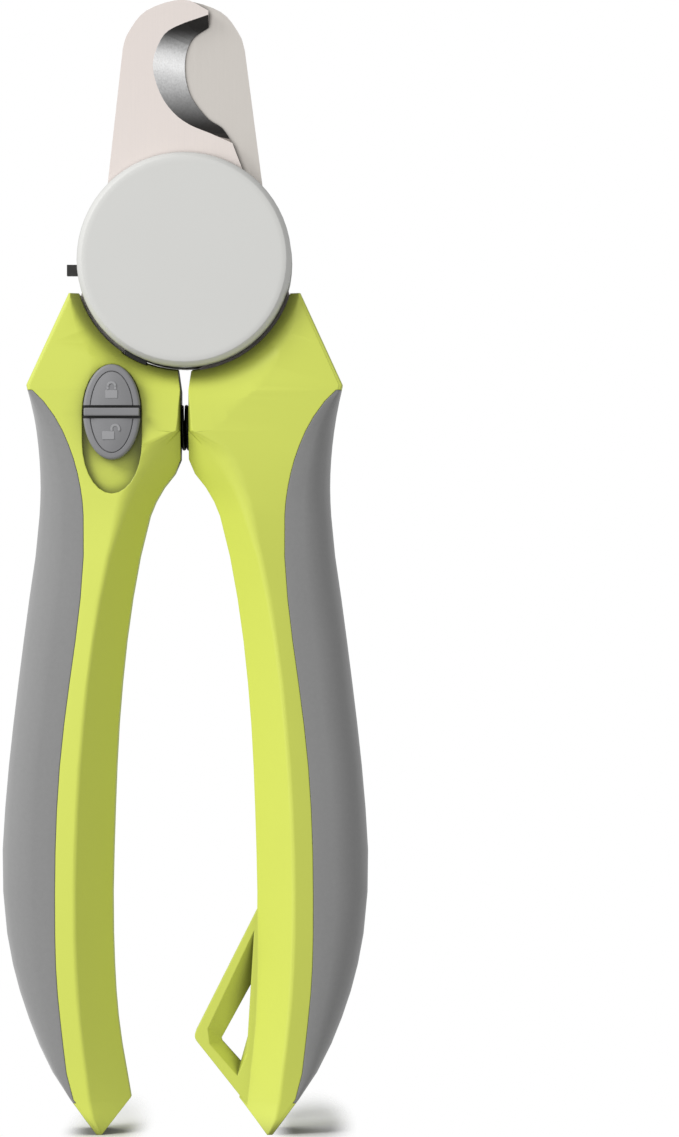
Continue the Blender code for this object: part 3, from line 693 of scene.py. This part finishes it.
class CLIPPER_OT_stage(bpy.types.Operator):
    """Sets up the floor, the lights and the camera"""

    bl_idname = "clipper.stage"
    bl_label = "Floor, lights and camera"

    def execute(self, context):
        low, high = CAD_BOX
        scene = context.scene
        self.floor(scene, low.z)
        self.world(scene)
        middle = (low + high) / 2
        area_light("key", middle + Vector((-0.85, -0.60, 0.70)), middle, 0.50, 11.0)
        area_light("side", middle + Vector((-0.80, -0.50, 0.05)), middle, 0.45, 1.4)
        area_light("front", middle + Vector((-0.15, -1.10, 0.05)), middle, 0.50, 1.0)
        area_light("edge", middle + Vector((0.80, -0.60, 0.10)), middle, 0.25, 0.6)
        camera = bpy.data.cameras.new("camera")
        camera.lens = LENS
        camera.sensor_width = SENSOR
        camera.sensor_fit = "AUTO"
        camera.clip_end = 50.0
        view = bpy.data.objects.new("camera", camera)
        scene.collection.objects.link(view)
        distance = LENS * VIEW_HEIGHT / SENSOR
        view.location = (VIEW_CENTRE[0], PIVOT.y - distance, VIEW_CENTRE[1])
        view.rotation_euler = (math.pi / 2, 0.0, 0.0)
        scene.camera = view
        scene.view_settings.view_transform = "Standard"
        return {"FINISHED"}

    def floor(self, scene, height):
        """White floor, seen only in a soft patch by each tip, where the shadows fall; painted shadow
        darkens it next to the handles.
        """
        bm = bmesh.new()
        bmesh.ops.create_grid(bm, x_segments=1, y_segments=1, size=FLOOR_HALF,
                              matrix=Matrix.Translation((0, 0, height)))
        mesh = bpy.data.meshes.new("floor")
        bm.to_mesh(mesh)
        bm.free()
        base = tuple(scene.clipper_colours.floor)
        made, tree, shader, place = new_material("painted_floor", base, 0.9)
        tinted(tree, shader, base, noise_of(tree, place, 200.0), 0.995, 1.0)
        # painted shadow: the floor darkened where the handles stand close over it
        painted_hollow_shade(tree, shader, 12.0, 0.2)
        shader.inputs["Emission Color"].default_value = (1, 1, 1, 1)
        shifted = add_node(tree, "ShaderNodeVectorMath", {"operation": "SUBTRACT"}, {0: place})
        shifted.inputs[1].default_value = (PATCH_SHIFT, 0.0, 0.0)
        near_tips = add_node(tree, "ShaderNodeVectorMath", {"operation": "ABSOLUTE"},
                             {0: shifted.outputs[0]})
        patch = add_node(tree, "ShaderNodeMapping", {"Location": (-PATCH_X * PATCH_SCALE[0], 0, 0),
                                                     "Scale": PATCH_SCALE},
                         {"Vector": near_tips.outputs[0]})
        reach = add_node(tree, "ShaderNodeVectorMath", {"operation": "LENGTH"},
                         {0: patch.outputs[0]})
        shader.inputs["Emission Strength"].default_value = FLOOR_GLOW
        fade = ramped(tree, reach.outputs["Value"], 0.35, 1.0)
        clear = add_node(tree, "ShaderNodeBsdfTransparent")
        mixed = add_node(tree, "ShaderNodeMixShader", links={0: fade, 1: shader.outputs[0],
                                                             2: clear.outputs[0]})
        tree.links.new(mixed.outputs[0], tree.nodes["Material Output"].inputs["Surface"])
        mesh.materials.append(made)
        obj = bpy.data.objects.new("floor", mesh)
        scene.collection.objects.link(obj)

    def world(self, scene):
        """White behind the object, and a softer white light from all round."""
        scene.world = bpy.data.worlds.new("studio")
        scene.world.use_nodes = True
        tree = scene.world.node_tree
        background = tree.nodes["Background"]
        background.inputs["Color"].default_value = (1, 1, 1, 1)
        path = add_node(tree, "ShaderNodeLightPath")
        strength = add_node(tree, "ShaderNodeMapRange", {"To Min": WORLD_LIGHT, "To Max": 1.0},
                            {"Value": path.outputs["Is Camera Ray"]})
        tree.links.new(strength.outputs["Result"], background.inputs["Strength"])


def area_light(name, place, target, size, power):
    lamp = bpy.data.lights.new(name, "AREA")
    lamp.size = size
    lamp.energy = power
    obj = bpy.data.objects.new(name, lamp)
    bpy.context.scene.collection.objects.link(obj)
    obj.location = place
    obj.rotation_euler = (target - place).to_track_quat("-Z", "Y").to_euler()
    return obj


OPERATORS = (CLIPPER_OT_shells, CLIPPER_OT_grips, CLIPPER_OT_blades, CLIPPER_OT_caps,
             CLIPPER_OT_lock, CLIPPER_OT_spring, CLIPPER_OT_guard, CLIPPER_OT_fasteners,
             CLIPPER_OT_stage)


class CLIPPER_PT_panel(bpy.types.Panel):
    """Lists the clipper's settings and the buttons that make its pieces"""

    bl_idname = "CLIPPER_PT_panel"
    bl_label = "Scissor nail clipper"
    bl_space_type = "VIEW_3D"
    bl_region_type = "UI"
    bl_category = "Clipper"

    def draw(self, context):
        for group in (context.scene.clipper_sizes, context.scene.clipper_colours):
            box = self.layout.box()
            for name in group.__annotations__:
                box.prop(group, name)
        for operator in OPERATORS:
            self.layout.operator(operator.bl_idname)


CLASSES = (ClipperSizes, ClipperColours, *OPERATORS, CLIPPER_PT_panel)


def register():
    for item in CLASSES:
        bpy.utils.register_class(item)
    bpy.types.Scene.clipper_sizes = PointerProperty(type=ClipperSizes)
    bpy.types.Scene.clipper_colours = PointerProperty(type=ClipperColours)


def unregister():
    del bpy.types.Scene.clipper_colours
    del bpy.types.Scene.clipper_sizes
    for item in reversed(CLASSES):
        bpy.utils.unregister_class(item)


def main():
    register()
    bpy.ops.clipper.shells()
    bpy.ops.clipper.grips()
    bpy.ops.clipper.blades()
    bpy.ops.clipper.caps()
    bpy.ops.clipper.lock()
    bpy.ops.clipper.spring()
    bpy.ops.clipper.guard()
    bpy.ops.clipper.fasteners()
    bpy.ops.clipper.stage()
    bpy.context.view_layer.update()


if __name__ == "__main__":
    main()
